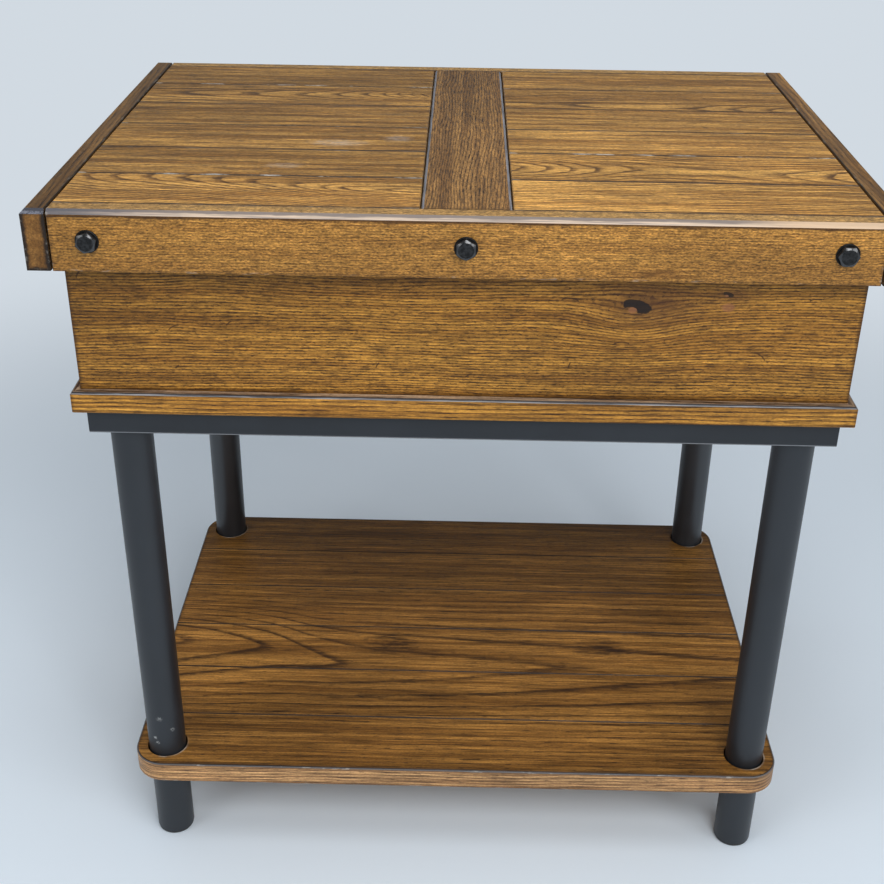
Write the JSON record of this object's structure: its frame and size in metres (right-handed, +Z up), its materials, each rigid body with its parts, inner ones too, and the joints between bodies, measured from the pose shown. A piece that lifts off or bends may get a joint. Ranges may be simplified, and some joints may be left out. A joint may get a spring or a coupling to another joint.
{
  "type": "lift-top end table",
  "caption": "Lift-top end table: plank lid that rises level on a parallelogram linkage over a storage box, on a black steel frame with round legs and a low shelf.",
  "frame": {"origin": "on the floor under the middle of the table", "axes": "+Z up, +Y to the back, the bolted front board faces -Y"},
  "size_m": [0.66, 0.486, 0.655],
  "materials": {
    "oak_plank": "stained oak planks under satin lacquer, dark pores and grooves",
    "oak_centre": "darker stained oak, grain front to back, satin",
    "oak_edge": "stained oak boards with worn dark edges, satin",
    "oak_box": "stained oak veneer with knots, satin",
    "oak_moulding": "streaky stained oak, worn edges",
    "plywood": "plain sanded plywood",
    "oak_shelf": "darker red-brown stained oak panel, grooved",
    "oak_band": "pale oak edge band",
    "black_steel": "charcoal powder coat, satin",
    "black_bolt": "black oxide bolt",
    "zinc_steel": "zinc-plated pressed steel",
    "strut_case": "black painted cylinder",
    "strut_rod": "polished rod",
    "glide": "black plastic glide",
    "bumper": "black rubber"
  },
  "bodies": {
    "table": {"base_moulding_back": "oak_moulding", "base_moulding_front": "oak_moulding", "base_moulding_left": "oak_moulding", "base_moulding_right": "oak_moulding", "box_back": "oak_box", "box_floor": "plywood", "box_front": "oak_box", "box_left": "oak_box", "box_right": "oak_box", "corner_plates": "black_steel", "foot_glides": "glide", "frame_rail_back": "black_steel", "frame_rail_front": "black_steel", "frame_rail_left": "black_steel", "frame_rail_right": "black_steel", "hinge_pins": "zinc_steel", "hinge_plate_left": "zinc_steel", "hinge_plate_right": "zinc_steel", "leg_back_left": "black_steel", "leg_back_right": "black_steel", "leg_front_left": "black_steel", "leg_front_right": "black_steel", "rim_bumpers": "bumper", "shelf_collars": "black_steel", "shelf_edge_band": "oak_band", "shelf_panel": "oak_shelf", "wood_screws": "zinc_steel"},
    "front_arms": {"cross_tube": "zinc_steel", "front_arm_left": "zinc_steel", "front_arm_right": "zinc_steel", "strut_studs": "zinc_steel"},
    "lid": {"lid_board_back": "oak_edge", "lid_board_front": "oak_edge", "lid_board_left": "oak_edge", "lid_board_right": "oak_edge", "lid_bolts": "black_bolt", "lid_centre_board": "oak_centre", "lid_pins": "zinc_steel", "lid_plank_left_1": "oak_plank", "lid_plank_left_2": "oak_plank", "lid_plank_left_3": "oak_plank", "lid_plank_left_4": "oak_plank", "lid_plank_left_5": "oak_plank", "lid_plank_left_6": "oak_plank", "lid_plank_right_1": "oak_plank", "lid_plank_right_2": "oak_plank", "lid_plank_right_3": "oak_plank", "lid_plank_right_4": "oak_plank", "lid_plank_right_5": "oak_plank", "lid_plank_right_6": "oak_plank", "lid_rail_left": "zinc_steel", "lid_rail_right": "zinc_steel", "lid_subtop": "plywood", "rail_screws": "zinc_steel"},
    "rear_arm_left": {"rear_arm_left": "zinc_steel"},
    "rear_arm_right": {"rear_arm_right": "zinc_steel"},
    "strut_cylinder_left": {"strut_cylinder_left": "strut_case"},
    "strut_cylinder_right": {"strut_cylinder_right": "strut_case"},
    "strut_rod_left": {"strut_rod_left": "strut_rod"},
    "strut_rod_right": {"strut_rod_right": "strut_rod"}
  },
  "joints": [
    {"name": "lift", "type": "hinge", "parent": "table", "child": "front_arms", "pos_m": [0, -0.175, 0.6015], "axis": [1, 0, 0], "range_deg": [0, 90]},
    {"name": "lid_level", "type": "hinge", "parent": "front_arms", "child": "lid", "pos_m": [0, 0.00432, 0.58581], "axis": [1, 0, 0], "range_deg": [-90, 0]},
    {"name": "rear_arm_left", "type": "hinge", "parent": "table", "child": "rear_arm_left", "pos_m": [0, -0.085, 0.5565], "axis": [1, 0, 0], "range_deg": [0, 90]},
    {"name": "rear_arm_right", "type": "hinge", "parent": "table", "child": "rear_arm_right", "pos_m": [0, -0.085, 0.5565], "axis": [1, 0, 0], "range_deg": [0, 90]},
    {"name": "strut_foot_left", "type": "hinge", "parent": "table", "child": "strut_cylinder_left", "pos_m": [0, -0.175, 0.5215], "axis": [1, 0, 0], "range_deg": [0, 45]},
    {"name": "strut_foot_right", "type": "hinge", "parent": "table", "child": "strut_cylinder_right", "pos_m": [0, -0.175, 0.5215], "axis": [1, 0, 0], "range_deg": [0, 45]},
    {"name": "strut_head_left", "type": "hinge", "parent": "front_arms", "child": "strut_rod_left", "pos_m": [0, -0.0953, 0.59453], "axis": [1, 0, 0], "range_deg": [-45, 0]},
    {"name": "strut_head_right", "type": "hinge", "parent": "front_arms", "child": "strut_rod_right", "pos_m": [0, -0.0953, 0.59453], "axis": [1, 0, 0], "range_deg": [-45, 0]}
  ],
  "couplings": [
    {"joint": "lid_level", "follows": "lift", "ratio": -1},
    {"joint": "rear_arm_left", "follows": "lift", "ratio": 1},
    {"joint": "rear_arm_right", "follows": "lift", "ratio": 1},
    {"joint": "strut_foot_left", "follows": "lift", "ratio": 0.5},
    {"joint": "strut_foot_right", "follows": "lift", "ratio": 0.5},
    {"joint": "strut_head_left", "follows": "lift", "ratio": -0.5},
    {"joint": "strut_head_right", "follows": "lift", "ratio": -0.5}
  ]
}
